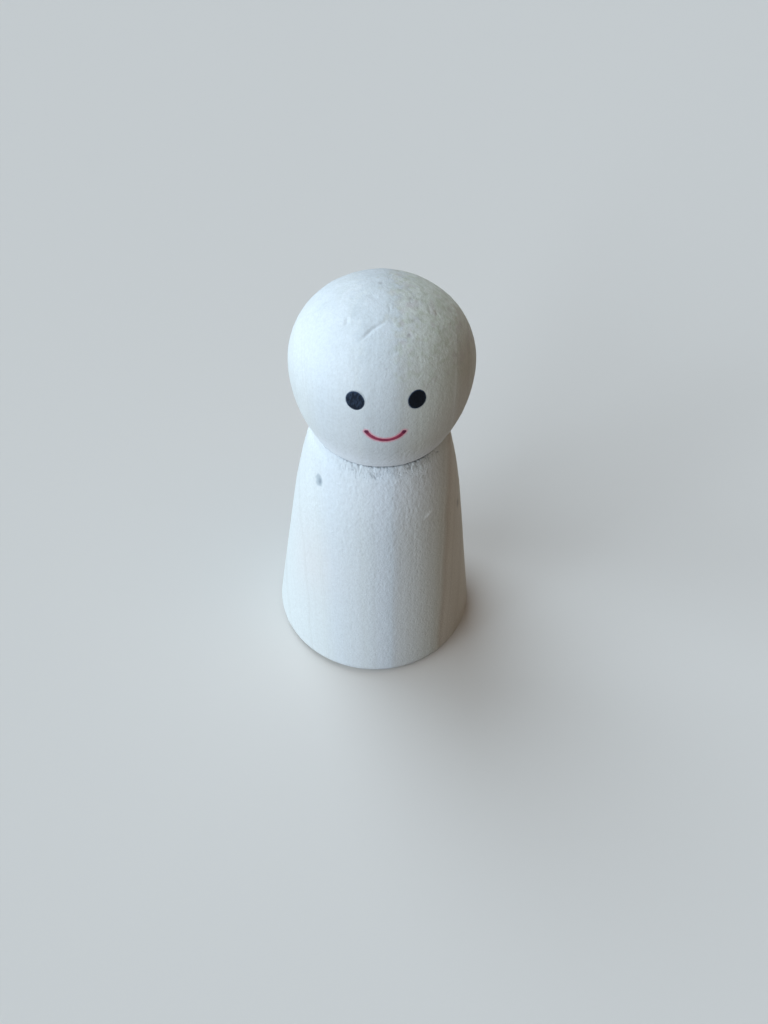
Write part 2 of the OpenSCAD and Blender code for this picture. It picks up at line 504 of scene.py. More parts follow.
def body_push(points):
    """Millimetres that each point of the body moves out, mostly below nothing: the sum of these.

    A wavering from hand sanding, raised fibres that get rougher towards the shoulder, furrows in
    the torn zone and a few deeper tears, the knot's oval pit, the lifted sliver, the bruise, the
    proud rings and the lip under the head. Below the base there are faint rings from the tool that
    faced it, a cosine of the distance from the axis.
    """
    r, z = radius_of(points), points[..., 2]
    depth = SANDING * noise(points, cell=7, seed=1)
    depth += SOFT_GRAIN * noise(points, cell=(0.42, 0.42, 1.1), seed=2)
    rougher = SHOULDER_NAP * ease(z, 22, 31) * (1 + 2 * ease(z, 38.5, 36))
    depth += (NAP + rougher) * noise(points, cell=(0.32, 0.32, 0.4), seed=3)
    depth += FURROW * torn(points) * furrows(points)
    for begin, end in SHORT_TEARS:
        depth += SHORT_TEAR * tear(points, begin, end, TEAR_WIDTH)
    for begin, end in DARK_TEARS:
        depth += DARK_TEAR * stroke(points, body_side, begin, end, TEAR_WIDTH)
    for begin, end in LIFTED_FIBRES:
        depth -= LIFTED * stroke(points, body_side, begin, end, FIBRE_WIDTH)
    depth += KNOT_DEPTH * pit(points, body_side, KNOT, width=0.6, tall=1.5)
    depth -= SLIVER_HEIGHT * stroke(points, body_side, *SLIVER, width=0.2)
    depth += BRUISE_DEPTH * pit(points, body_side, BRUISE, width=0.5, tall=1.5)
    depth -= raised_rings(points)
    side = ease(z, 0.1, 1.2) * ease(r, 6, 6.9)
    faced = FACING_DEPTH * (1 - np.cos(r * 2 * np.pi / FACING_STEP)) * ease(r, 13, 12)
    return -depth * side + burr(points) - faced * ease(z, 0.05, 0.01)


knot_depth = -body_push(on_side(body_side, *KNOT))
print("the surface lies", round(float(knot_depth), 3), "mm deep in the knot")

# %% [markdown]
# ## The marks on the head
#
# The crown is end grain, where the turner's last cut tore a little and left creases, small pits and
# a woolly patch on the doll's left. A bent scratch crosses the forehead: a groove whose upper wall
# lies in shade and whose lower wall catches the light, so it shows as a dark line over a bright
# one. Only a real groove does that from every side, so it isn't painted but pushed in, like the
# marks on the body.

# %% Places on the head
# Places are as on the body. A crease has its two ends, its width and its depth in mm, and a pit its
# place, its width, its depth and how much grime it holds, from 0 to 1
# Places of painted light: a warm reflection on the chin's right and shade on the forehead
WARM_BOUNCE, SHADED_FOREHEAD = (50, 46), (-18, 58.3)
SCRATCH = ((-21.4, 57.78), (-13.9, 58.52), (-1, 58.96))
CREASES = (
    ((-46.5, 58.66), (-41.5, 58.28), 0.24, 0.105),
    ((-58.9, 59.84), (-14.9, 59.76), 0.3, 0.045),
    ((8.9, 59.6), (6.8, 59.35), 0.16, 0.03),
    ((7.4, 58.98), (9.2, 58.62), 0.16, 0.035),
    ((167, 59.5), (153, 59.93), 0.25, 0.03),
    ((68.4, 58.9), (59.2, 58.55), 0.2, 0.05),
    ((71.1, 58.5), (61.8, 58.2), 0.18, 0.045),
    ((-5.5, 56.5), (-3, 56.8), 0.14, 0.02),
)
PITS = (
    ((-161, 59.97), 0.33, 0.045, 0.3),
    ((61.5, 59.57), 0.32, 0.045, 0.3),
    ((33.5, 58.75), 0.24, 0.03, 0.2),
    ((22.1, 58.04), 0.26, 0.055, 0.45),
    ((-0.2, 55.8), 0.16, 0.02, 0.3),
)


def scratch(points, width):
    """A bent groove through three places, by its distance from the nearer of two straight legs."""
    places = [on_side(head_side, *place) for place in SCRATCH]
    near, first = to_stroke(points, *places[:2])
    far, second = to_stroke(points, *places[1:])
    return bell(np.minimum(near, far), width) * soft_ends((first + second) / 2)


def woolly(points):
    """Where the end grain is woolly: 1 on the left half of the crown, fading down the forehead."""
    return ease(across(points), 1.4, 3.6) * ease(points[..., 2], 50, 57)


print("one scratch,", len(CREASES), "creases and", len(PITS), "pits on the head")

# %% Push the head's surface in
# Depths in mm; sanding is as deep as on the body
END_GRAIN, HEAD_NAP, WOOLLY_NAP, CHIN_FIBRES = 0.01, 0.03, 0.018, 0.038
CROWN_WAVES, SCRATCH_DEPTH, CHIPPED = 0.06, 0.12, 0.09


def head_push(points):
    """Millimetres that each point of the head moves out, mostly below nothing: the sum of these.

    Hand sanding and raised fibres as on the body, rougher on the chin, woolly end grain on the left
    half of the crown, the scratch, the creases, the small pits, the proud rings and a slightly
    chipped foot rim.
    """
    r, z = radius_of(points), points[..., 2]
    depth = SANDING * noise(points, cell=6, seed=5)
    depth += END_GRAIN * noise(points, cell=(0.4, 0.4, 1.0), seed=6)
    rough = 0.55 * noise(points, cell=0.6, seed=7) + 0.45 * noise(points, cell=0.32, seed=8)
    depth += (HEAD_NAP + WOOLLY_NAP * woolly(points)) * rough
    depth += CHIN_FIBRES * noise(points, cell=(0.3, 0.3, 0.7), seed=10) * ease(z, 48, 42)
    depth += CROWN_WAVES * noise(points, cell=1.5, seed=9) * ease(z, 53.5, 58)
    depth += SCRATCH_DEPTH * scratch(points, width=0.22)
    for begin, end, width, deep in CREASES:
        depth += deep * stroke(points, head_side, begin, end, width)
    for place, width, deep, _ in PITS:
        depth += deep * pit(points, head_side, place, width)
    depth -= raised_rings(points) * ease(z, 60, 58)
    side = ease(z, FOOT_Z + 0.02, FOOT_Z + 0.5) * ease(r + z, 50, 52)
    rim = ease(z, FOOT_Z + 0.5, FOOT_Z) * ease(r, 7.5, 8.4)
    return -depth * side - CHIPPED * noise(points, cell=0.45, seed=17) * rim


scratch_depth = -head_push(on_side(head_side, *SCRATCH[1]))
print("the surface lies", round(float(scratch_depth), 3), "mm deep in the bend of the scratch")

# %% [markdown]
# ## Colours
#
# A colour is written as it would look on a screen, in sRGB hex, and turned to the linear numbers
# that the renderer counts with. Stains belong to places, so they are painted on the points of the
# mesh: each layer is laid over the ones below it, and the material mixes the result into the wood.
# An image could hold the stains too, but it would need the surface unfolded. Points need nothing,
# and here they lie closer together than the stains are wide.

# %% Colours and layers
def linear(code, alpha=1.0):
    """sRGB hex to linear: a share c is c / 12.92, or ((c + 0.055) / 1.055) ** 2.4 if brighter."""
    share = np.array([int(code[k : k + 2], 16) / 255 for k in (1, 3, 5)])
    colour = np.where(share <= 0.04045, share / 12.92, ((share + 0.055) / 1.055) ** 2.4)
    return (*colour.tolist(), alpha)


def layered(shape, layers):
    """Paints each (colour, cover) layer over the last: new = old + cover times (colour - old).

    The last channel is how much of the wood the layers hide together.
    """
    tint, hidden = np.zeros((*shape, 3)), np.zeros(shape)
    for code, cover in layers:
        cover = np.clip(cover, 0, 1)
        together = hidden + cover - hidden * cover
        share = np.divide(cover, together, out=np.zeros(shape), where=together > 0)
        tint += share[..., None] * (np.array(linear(code)[:3]) - tint)
        hidden = together
    return np.concatenate([tint, hidden[..., None]], axis=-1)


def paint(piece, shape, layers):
    """Stores the layers on the points of a skin, as the attribute that the materials call marks.

    shape is the skin's rings by its points round. The end points take their neighbours' colour.
    """
    rgba = layered(shape, layers).reshape(-1, 4)
    rgba = np.concatenate([rgba[:1], rgba, rgba[-1:]])
    layer = piece.data.color_attributes.new(name="marks", type="FLOAT_COLOR", domain="POINT")
    layer.data.foreach_set("color", rgba.astype(np.float32).ravel())


print("a middle grey, #808080, is", round(linear("#808080")[0], 3), "in linear light")

# %% [markdown]
# ## Where the ink goes
#
# The face is pad-printed: a soft pad presses the whole face on at once. Its places are measured
# from the head's foot. The wood needs them too, because ink creeps a little way into bare wood
# round each print, and that faint fringe is painted on the head's own points.

# %% Places of the face
EYE_D, EYE_GAP, EYE_H = 2.2, 7, 12.8
SMILE_W, SMILE_DROP, SMILE_H, SMILE_LINE = 4.4, 1.3, 7.25, 0.48
AWAY = 99
smile_r = ((SMILE_W / 2) ** 2 + SMILE_DROP**2) / (2 * SMILE_DROP)
smile_half_angle = np.arcsin(SMILE_W / 2 / smile_r)
smile_z = FOOT_Z + SMILE_H + smile_r
eye_z = FOOT_Z + EYE_H
eye_turn = np.degrees(np.arcsin(EYE_GAP / 2 / np.interp(eye_z, head_side[:, 1], head_side[:, 0])))


def from_smile(points):
    """Distance from the smile's line: from its ring within the arc, from its ends beyond it.

    The back of the head counts as far away.
    """
    x, z = points[..., 0], points[..., 2] - smile_z
    angle = np.clip(np.arctan2(x, -z), -smile_half_angle, smile_half_angle)
    flat = np.hypot(x - smile_r * np.sin(angle), z + smile_r * np.cos(angle))
    return np.where(points[..., 1] < 0, flat, AWAY)


print("eyes", round(eye_turn, 2), "degrees from the middle of the face")

# %% [markdown]
# ## The body and the head
#
# With the lines, the pushes and the places ready, the two wooden pieces are one call each. Every
# point moves along its own outward direction. A piece stays below 200 000 triangles, so the points
# go where they are needed: close together on the side, far apart in the hole.
#
# On top of its shape each piece carries tints. Near-whites are painted light, standing for a nap
# that catches more light and for the lit sides of torn fibres. Most dark greys are painted shade in
# places too narrow for the mesh, and the rest are stains.

# %% Tints on the body
# A tear's painted highlight lies this many degrees to the doll's left of it, on its lit side
LIT_SIDE = 0.75


def knot_cover(points):
    """How much the knot's oval and its darker, mottled core cover: two numbers from 0 to 1."""
    oval = np.linalg.norm((points - on_side(body_side, *KNOT)) / (1, 1, 1.4), axis=-1)
    oval = oval + 0.3 * (noise(points, cell=0.3, seed=32) - 0.5)
    core = pit(points, body_side, (KNOT[0] + 1, KNOT[1] - 0.1), width=0.36, tall=1.3)
    return ease(oval, 0.9, 0.5), core * (0.4 + 0.6 * noise(points, cell=0.25, seed=33))


def seam_shade_cover(points):
    """How much painted shade lies in the seam: only behind the lip, and less on the side of the
    windows.
    """
    behind = ease(radius_of(points), SEAM_R + 0.03, SEAM_R - 0.09)
    return behind * ease(points[..., 2], 38.4, 38.9) * (0.1 + 0.9 * ease(turn_of(points), -45, 60))


def body_layers(points):
    """The body's tints, from the lowest layer up.

    A pinkish patch from hands, painted light on the nap under the head, painted shade in the
    furrows and the seam, the pin knot, the bruise, the sliver, and on the tears painted shade and,
    on their lit sides and on the lifted fibres, painted highlights.
    """
    oval, core = knot_cover(points)
    painted_light_under_head = ease(points[..., 2], 28, 37) * bell(turn_of(points) - TORN_TURN, 45)
    layers = [
        ("#EBD6CE", 0.2 * pit(points, body_side, HANDLED, width=5, tall=1.6)),
        # Painted light: paler under the head, where the head's shadow falls
        ("#F6FAFF", 0.32 * painted_light_under_head),
        ("#7C7A76", 0.07 * torn(points) * furrows(points)),
        # Painted shade in the gap behind the lip, under the head
        ("#34343E", 0.85 * seam_shade_cover(points)),
        ("#A2ADB4", 0.55 * oval),
        ("#606C78", 0.9 * core),
        ("#6B5C52", 0.5 * pit(points, body_side, BRUISE, width=0.5, tall=1.6)),
        ("#FCFEFC", 1.1 * stroke(points, body_side, *SLIVER, width=0.22)),
    ]
    # Each short tear gets a painted highlight on its lit side and painted shade in its groove
    for begin, end in SHORT_TEARS:
        beside = [(turn + LIT_SIDE, z) for turn, z in (begin, end)]
        layers.append(("#F4F6F4", 0.22 * tear(points, *beside, TEAR_WIDTH)))
        layers.append(("#505056", 0.4 * tear(points, begin, end, TEAR_WIDTH)))
    # Painted highlights on the lifted fibres
    for begin, end in LIFTED_FIBRES:
        layers.append(("#F4F6F4", 0.6 * stroke(points, body_side, begin, end, FIBRE_WIDTH)))
    # Painted shade in the dark tears
    for begin, end in DARK_TEARS:
        layers.append(("#44444C", 0.7 * stroke(points, body_side, begin, end, TEAR_WIDTH)))
    return layers


# %% Tints on the head
def head_layers(points):
    """The head's tints, from the lowest layer up.

    Painted light on the lower chin, a faint pinkish painted reflection of warm bounced light on
    the chin's right, painted shade on the forehead, the ink's fringe round the smile, greenish and
    pinkish blotches on the woolly end grain, grey along the scratch, the ink's fringes round the
    eyes, and grey in the small pits of the crown.
    """
    creep = 0.1 * noise(points, cell=(0.12, 0.12, 0.5), seed=41)
    smile = from_smile(points) - SMILE_LINE / 2 - creep
    greenish = ease(noise(points, cell=(0.5, 0.5, 0.35), seed=42), 0.45, 0.8)
    pinkish = ease(noise(points, cell=(0.9, 0.9, 0.6), seed=43), 0.55, 0.85)
    layers = [
        # Painted light on the lower chin, where shade falls
        ("#F6FAFF", 0.6 * ease(points[..., 2], 45, 40)),
        # A painted warm reflection on the chin's right, as from light bounced off brown
        # surroundings
        ("#D6C4C0", 0.25 * pit(points, head_side, WARM_BOUNCE, width=6)),
        # Painted shade on the forehead
        ("#C8D1D8", 0.18 * pit(points, head_side, SHADED_FOREHEAD, width=4)),
        ("#EC8FA3", 0.68 * ease(smile, 0.3, 0.0)),
        ("#B6BCA4", 0.36 * woolly(points) * greenish),
        ("#BDAFAE", 0.3 * woolly(points) * pinkish),
        ("#8E8A84", 0.12 * scratch(points, width=0.12)),
    ]
    for turn in (-eye_turn, eye_turn):
        rim = np.linalg.norm(points - on_side(head_side, turn, eye_z), axis=-1) - EYE_D / 2
        layers.append(("#5C646E", 0.35 * ease(rim - creep, 0.1, 0.0)))
    for place, width, _, grime in PITS:
        layers.append(("#7D7078", grime * pit(points, head_side, place, 0.8 * width)))
    return layers


# %% Turn both pieces
# How many points each ring has
BODY_COLUMNS, HEAD_COLUMNS = 316, 380


def turned(name, line, columns, push, layers):
    """A closed skin: the swept line with every point moved by push along its outward direction."""
    points, outward = swept(line[1:-1], columns)
    moved = points + push(points)[..., None] * outward
    ends = np.array([[0, 0, line[0, 1]], [0, 0, line[-1, 1]]])
    ends[1, 2] += push(ends[1:])[0]
    piece = skin(name, moved[None], ends[:1], ends[1:])
    paint(piece, moved.shape[:2], layers(points))
    return piece


body = turned("body_turned", body_line, BODY_COLUMNS, body_push, body_layers)
head = turned("head_turned", head_line, HEAD_COLUMNS, head_push, head_layers)
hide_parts("body")
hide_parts("head")

# %% [markdown]
# ## Printed ink
#
# A print is a very thin film that follows the wood under it, so the film takes its place from the
# head's own surface, marks and all, and lies 0.03 mm above it. It is closed: its upper side meets
# its underside, a little sunk in the wood, at the rim. A pad never leaves a perfect edge, and on
# bare wood the fibres draw the ink along the grain, so the rim wavers.
#
# The face could be painted on the head's points like the stains. A film of its own gives the ink a
# crisp edge and a finish of its own, and it is a piece of its own on the real doll too.

# %% Lay points on the head
FILM, SUNK, FILM_ROWS = 0.03, 0.03, 12
# The higher this power, the flatter the film and the steeper its rim
FLATNESS = 12


def on_head(x, z, lift):
    """Points on the finished head, seen flat from the front at x and z, lifted outwards."""
    side_r, side_z = head_side[:, 0], head_side[:, 1]
    r = np.interp(z, side_z, side_r)
    slope = np.interp(z, side_z, np.gradient(side_r, side_z))
    y = -np.sqrt(r**2 - x**2)
    flat = np.stack([x, y, z], axis=-1)
    outward = np.stack([x / r, y / r, -slope], axis=-1)
    outward /= np.linalg.norm(outward, axis=-1)[..., None]
    return flat + (head_push(flat) + lift)[..., None] * outward


def end_on_head(x, z, lift):
    """One such point, as the end of a skin."""
    return on_head(*np.array([[x], [z], [lift]], float))


def film_heights():
    """From the middle of the underside to the rim and on to the middle of the upper side.

    Gives each ring's share of the way out, and its lift: flat, and falling to nothing at the rim.
    """
    upper = np.linspace(1, 0, 3 * FILM_ROWS)[1:-1]
    share = np.concatenate([np.linspace(0, 1, FILM_ROWS)[1:], upper])
    under = np.arange(len(share)) < FILM_ROWS - 1
    return share, np.where(under, -SUNK, FILM) * (1 - share**FLATNESS)


print("an eye's film has", len(film_heights()[0]), "rings")

# %% Two eye dots
EYE_POINTS = 96
# How many waves run round a rim, and by what share of the radius they move it together
WAVES_ROUND, WAVERING = (2, 3, 4, 5, 7, 11), 0.022


def eye_dot(name, turn, raised, stretch, lean, wear_and_sheen, seed):
    """Rings inside one another: a circle times a rim that wavers by some 2%, stretched one way.

    raised is how far above its place the dot was printed, because the pad was held a little aslant.
    stretch is the share by which it is longer one way, and lean the angle of that way in degrees.
    wear_and_sheen is how much grey-blue lies over the black, from 0 to 1: worn ink, where the
    upright fibres of the wood come through as grey specks, and on the eye on the windows' side a
    painted sheen of their light as well. It goes to the material point by point.
    """
    share, lift = (column[:, None] for column in film_heights())
    angle = np.linspace(0, 2 * np.pi, EYE_POINTS, endpoint=False)
    rng = np.random.default_rng(seed)
    waves = sum(
        rng.uniform(0.2, 1) / k * np.cos(k * angle + rng.uniform(0, 6.3)) for k in WAVES_ROUND
    )
    reach = EYE_D / 2 * (1 + WAVERING * waves)
    reach = reach * (1 + stretch * np.cos(2 * (angle - np.radians(lean))))
    middle_x, middle_z = EYE_GAP / 2 * np.sign(turn), eye_z + raised
    x = middle_x + share * reach * np.cos(angle) * np.cos(np.radians(turn))
    z = middle_z + share * reach * np.sin(angle)
    rings = on_head(x, z, lift)
    ends = [end_on_head(middle_x, middle_z, h) for h in (-SUNK, FILM)]
    piece = skin(name, rings[None], *ends)
    fibres = 0.6 * noise(rings, cell=(0.1, 0.1, 0.32), seed=seed)
    fibres = fibres + 0.4 * noise(rings, cell=0.22, seed=seed + 1)
    cover = wear_and_sheen * (0.4 + 0.75 * ease(fibres, 0.42, 0.72)) + 0.35 * ease(share, 0.86, 1)
    paint(piece, x.shape, [("#5D7190", cover)])
    return piece


# The eye on the windows' side gets more grey-blue: worn ink and a painted sheen of the windows'
# light
left_eye = eye_dot("left_eye_ink", eye_turn, 0.04, 0.01, 15, wear_and_sheen=0.03, seed=51)
right_eye = eye_dot("right_eye_ink", -eye_turn, -0.11, 0.01, 165, wear_and_sheen=0.21, seed=61)
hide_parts("left_eye")
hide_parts("right_eye")


# %% The smile
SMILE_STEPS, END_STEPS, SMILE_POINTS = 130, 8, 28
# The line's width wavers every 0.07 mm, which is this many times in a radian of its circle
WAVERS_PER_RADIAN = 37.5


def smile(name):
    """A flattened tube along an arc: sections across it, narrowing to round ends.

    A point is on the smile's circle at the section's angle, moved across by the cosine and lifted
    by the sine of its own angle round the tube. The half width stays level and closes at the ends
    as a circle does.
    """
    end = SMILE_LINE / 2 / smile_r
    closing = end * np.cos(np.linspace(0.12, np.pi / 2, END_STEPS))
    level = np.linspace(-smile_half_angle, smile_half_angle, SMILE_STEPS)[1:-1]
    along = np.concatenate(
        [-smile_half_angle - closing, level, smile_half_angle + closing[::-1]]
    )
    beyond = np.clip((np.abs(along) - smile_half_angle) / end, 0, 1)
    line = np.stack([along * WAVERS_PER_RADIAN, 0 * along, 0 * along], axis=-1)
    half = SMILE_LINE / 2 * np.sqrt(1 - beyond**2) * (0.9 + 0.2 * noise(line, cell=1, seed=71))
    half *= 1 + 0.1 * ease(np.abs(along), smile_half_angle - 0.12, smile_half_angle)
    around = np.linspace(0, 2 * np.pi, SMILE_POINTS, endpoint=False)
    ring_r = smile_r + half[:, None] * np.cos(around)
    lift = np.where(np.sin(around) > 0, FILM, SUNK) * np.sin(around) * (half[:, None] > 0)
    x = ring_r * np.sin(along)[:, None]
    z = smile_z - ring_r * np.cos(along)[:, None]
    rings = on_head(x, z, lift)
    ends = [
        end_on_head(smile_r * np.sin(tip), smile_z - smile_r * np.cos(tip), 0)
        for tip in (-smile_half_angle - end, smile_half_angle + end)
    ]
    piece = skin(name, rings[None], *ends)
    near_end = ease(np.abs(along), smile_half_angle - 0.16, smile_half_angle - 0.02)[:, None]
    blotch = noise(rings, cell=(0.25, 0.25, 0.5), seed=72)
    layers = [
        ("#7C2A48", 0.5 * ease(blotch, 0.4, 0.75)),
        ("#D9536C", 0.6 * ease(np.abs(np.cos(around)), 0.72, 1)),
        ("#5A2440", 0.8 * near_end),
    ]
    paint(piece, x.shape, layers)
    return piece


mouth = smile("mouth_ink")
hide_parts("mouth")

# %% [markdown]
# ## Torn fibres
#
# Where the tool lifted the grain, loose fibres still lie on the shoulder, each about as thick as a
# hair and less than a millimetre long. They catch the light as a rough fringe under the head. Each
# is a tube with five rings of four points, because a shape that is repeated so often has to be
# simple. They follow the grain down the flank and curl away from the wood at one end. Blender's
# hair would do for a picture, but tubes are mesh like the rest and are exported with it.

# %% Lay points on the shoulder
SHOULDER_FROM_Z = 30
shoulder_line = body_side[body_side[:, 1] > SHOULDER_FROM_Z][::-1]
way_down = np.concatenate([[0], np.cumsum(np.hypot(*np.diff(shoulder_line, axis=0).T))])


def on_shoulder(turn, down, lift):
    """Points on the finished body, at an angle and a way down from the seat's rim, lifted out."""
    r = np.interp(down, way_down, shoulder_line[:, 0])
    z = np.interp(down, way_down, shoulder_line[:, 1])
    run = np.gradient(shoulder_line, way_down, axis=0)
    out_r, out_z = -np.interp(down, way_down, run[:, 1]), np.interp(down, way_down, run[:, 0])
    flat = np.stack([r * np.sin(turn), -r * np.cos(turn), z], axis=-1)
    outward = np.stack([out_r * np.sin(turn), -out_r * np.cos(turn), out_z], axis=-1)
    return flat + (body_push(flat) + lift)[..., None] * outward


print("the shoulder is", way_down[-1].round(1), "mm long, measured along its surface")

# %% Torn fibres
FIBRES, FIBRE_RINGS, FIBRE_POINTS = 130, 5, 4
# Where groups of fibres stand, in degrees from the face. The last one is strewn wide, over the
# doll's left side and its back
GROUPS, GROUP_SHARES, STREWN = (-24, -3, 12, 31, 90), (0.16, 0.2, 0.14, 0.38, 0.12), 90


def unit(directions):
    """The same directions, each of length 1."""
    return directions / np.linalg.norm(directions, axis=-1)[..., None]


def fibres(name, count, seed):
    """Bent tubes: a spine down the shoulder, and four points round it that close in to a tip.

    The spine's lift grows with the square of the way along, so only the free end leaves the wood.
    A fibre starts 1.75 to 2.65 mm down from the seat's rim, is 0.25 to 0.9 mm long and 0.014 to
    0.034 mm in radius where it starts, and gets thinner on its way.
    """
    rng = np.random.default_rng(seed)
    steps = np.linspace(0, 1, FIBRE_RINGS)[None]
    group = rng.choice(GROUPS, count, p=GROUP_SHARES)
    spread = rng.normal(0, 1, count) * np.where(group == STREWN, 60, 8)
    start_turn = np.radians(group + spread)[:, None]
    start_down = (1.75 + 0.9 * rng.random(count) ** 2)[:, None]
    length = rng.uniform(0.25, 0.9, count)[:, None]
    drift = rng.normal(0.012, 0.035, count)[:, None]
    curl = (0.004 + 0.05 * rng.random(count) ** 3)[:, None]
    turn = start_turn + drift * steps + 0.006 * np.sin(steps * 5 + start_turn * 90)
    spine = on_shoulder(turn, start_down + length * steps, 0.004 + curl * steps**2)
    thick = rng.uniform(0.014, 0.034, count)[:, None] * (1 - 0.75 * steps**2)
    ahead = unit(np.gradient(spine, axis=1))
    side = unit(np.cross(ahead, unit(spine * (1, 1, 0))))
    above = np.cross(side, ahead)
    around = np.arange(FIBRE_POINTS)[:, None] * 2 * np.pi / FIBRE_POINTS
    ring = np.cos(around) * side[:, :, None] + np.sin(around) * above[:, :, None]
    rings = spine[:, :, None] + thick[..., None, None] * ring
    tips = spine[:, -1] + 0.05 * ahead[:, -1]
    return skin(name, rings, spine[:, 0] - 0.02 * ahead[:, 0], tips)


torn_fibres = fibres("torn_fibres", FIBRES, seed=7)
fibre_vertices = torn_fibres.data.vertices
# They bear no marks, but the wood's material reads the attribute, so they get an empty one
paint(torn_fibres, (len(fibre_vertices) - 2,), [])
print("the lowest torn fibre ends at", round(min(v.co.z for v in fibre_vertices) / MM, 2), "mm")

# %% [markdown]
# ## Building materials from nodes
#
# A procedural material is a small network. One helper adds a node, sets its values and links its
# inputs, so that the network reads from top to bottom like a recipe. All patterns are worked out in
# millimetres on the doll itself, so they stay put from whatever side it is seen.

# %% A helper for nodes
def add(tree, kind, settings=None, links=None):
    """Adds one node and returns its outputs. Settings are the node's own properties, or values for
    its inputs; links says which output feeds which input; stops are a ramp's places and colours."""
    node = tree.nodes.new("ShaderNode" + kind)
    for key, value in (settings or {}).items():
        if key == "stops":
            ramp = node.color_ramp.elements
            while len(ramp) < len(value):
                ramp.new(0.5)
            for stop, (place, code) in zip(ramp, value):
                stop.position, stop.color = place, linear(code)
        elif isinstance(key, str) and hasattr(node, key):
            setattr(node, key, value)
        else:
            node.inputs[key].default_value = value
    for key, source in (links or {}).items():
        tree.links.new(source, node.inputs[key])
    return node.outputs


def new_material(name):
    """An empty material and its network, with the doll's own coordinates in millimetres."""
    material = bpy.data.materials.new(name)
    material.use_nodes = True
    tree = material.node_tree
    tree.nodes.clear()
    place = add(tree, "TexCoord")["Object"]
    in_mm = add(tree, "Mapping", {"Scale": (1 / MM, 1 / MM, 1 / MM)}, {"Vector": place})[0]
    return material, tree, in_mm


# The Mix node has sockets for each kind of value: these are its two colours and the colour it gives
A, B, RESULT = 6, 7, 2

# %% [markdown]
# ## Bare, pale, sanded wood
#
# The wood is a very pale, even-grained one of the kind sold for craft dolls, sanded and left bare.
# Its growth rings cross the blank as nearly flat layers, so on the front and back they show as
# upright bands a few millimetres wide, hardly darker than the rest, and on the sides as broad
# patches. The same layers run through body and head, so both materials count them from the axis.
#
# Three scales make the look: bands of 1 to 4 mm, fibres 0.15 mm across and 2 mm long, and a fine
# nap of raised fibre ends that makes the surface matt. On the crown and under the base the grain
# is cut across, so it is rougher and a little darker there. A photograph of wood would show the
# grain of another board, while noise can be laid along this doll's own layers.

# %% Shading and end grain
CLOUDY = {"Detail": 3.0, "Roughness": 0.6}


def shaded(tree, colour, pattern, low, high, dark, share):
    """Multiplies a colour by a tone: dark where the pattern is low, white where it is high."""
    tone = add(tree, "ValToRGB", {"stops": [(low, dark), (high, "#FFFFFF")]}, {"Fac": pattern})
    settings = {"data_type": "RGBA", "blend_type": "MULTIPLY", 0: share}
    return add(tree, "Mix", settings, {A: colour, B: tone["Color"]})[RESULT]


def end_grain_share(tree):
    """1 where the surface faces up or down, so that the grain is cut across, and 0 on the side."""
    facing = add(tree, "SeparateXYZ", links={0: add(tree, "NewGeometry")["Normal"]})[2]
    level = add(tree, "Math", {"operation": "ABSOLUTE"}, {0: facing})[0]
    smooth = {"interpolation_type": "SMOOTHSTEP", 1: 0.5, 2: 0.95}
    return add(tree, "MapRange", smooth, {0: level})[0]


# %% Growth layers as colour
# The layers are counted this far to both sides of the axis, in mm
RINGS_REACH = 16.0
# The fraying has cells of 1.3 mm and the wander cells of 9 mm, which is 1 divided by these numbers.
# They shift the layers within a range of so many mm
FRAY_PER_MM, WANDER_PER_MM = 0.75, 0.11
FRAY_MM, WANDER_MM = 9.0, 0.8


def growth_layer(tree, in_mm, end_grain):
    """The number of a growth layer: x plus a little of z, because the layers lean, and a wander.

    Where the grain is cut across, a finer noise frays the layers.
    """
    fray = add(tree, "TexNoise", {"Scale": FRAY_PER_MM, **CLOUDY}, {"Vector": in_mm})["Fac"]
    fray = add(tree, "Math", {"operation": "SUBTRACT", 1: 0.5}, {0: fray})[0]
    fray = add(tree, "Math", {"operation": "MULTIPLY"}, {0: fray, 1: end_grain})[0]
    slow = {"Scale": WANDER_PER_MM, "Detail": 1.0}
    wander = add(tree, "TexNoise", slow, {"Vector": in_mm})["Fac"]
    wander = add(tree, "Math", {"operation": "SUBTRACT", 1: 0.5}, {0: wander})[0]
    xyz = add(tree, "SeparateXYZ", links={0: in_mm})
    times = {"operation": "MULTIPLY_ADD"}
    ring = add(tree, "Math", {**times, 1: RING_LEAN}, {0: xyz[2], 2: xyz[0]})[0]
    ring = add(tree, "Math", {**times, 1: WANDER_MM}, {0: wander, 2: ring})[0]
    return add(tree, "Math", {**times, 1: FRAY_MM}, {0: fray, 2: ring})[0]


def layer_colour(tree, ring, stops):
    """The colour of a layer, from stops in mm from the axis."""
    share = add(tree, "MapRange", {1: -RINGS_REACH, 2: RINGS_REACH}, {0: ring})[0]
    stops = [((place + RINGS_REACH) / (2 * RINGS_REACH), code) for place, code in stops]
    return add(tree, "ValToRGB", {"stops": stops}, {"Fac": share})["Color"]


# %% Fine patterns as colour
# Bands 0.9 mm wide, fibres 0.15 mm across and 2 mm long, and flecks of 0.4 mm
BANDS_PER_MM, FIBRES_PER_MM, FLECKS_PER_MM = 1.1, (6.5, 6.5, 0.5), 2.4
# Patches of 2.4 mm
PATCHES_PER_MM = 0.42


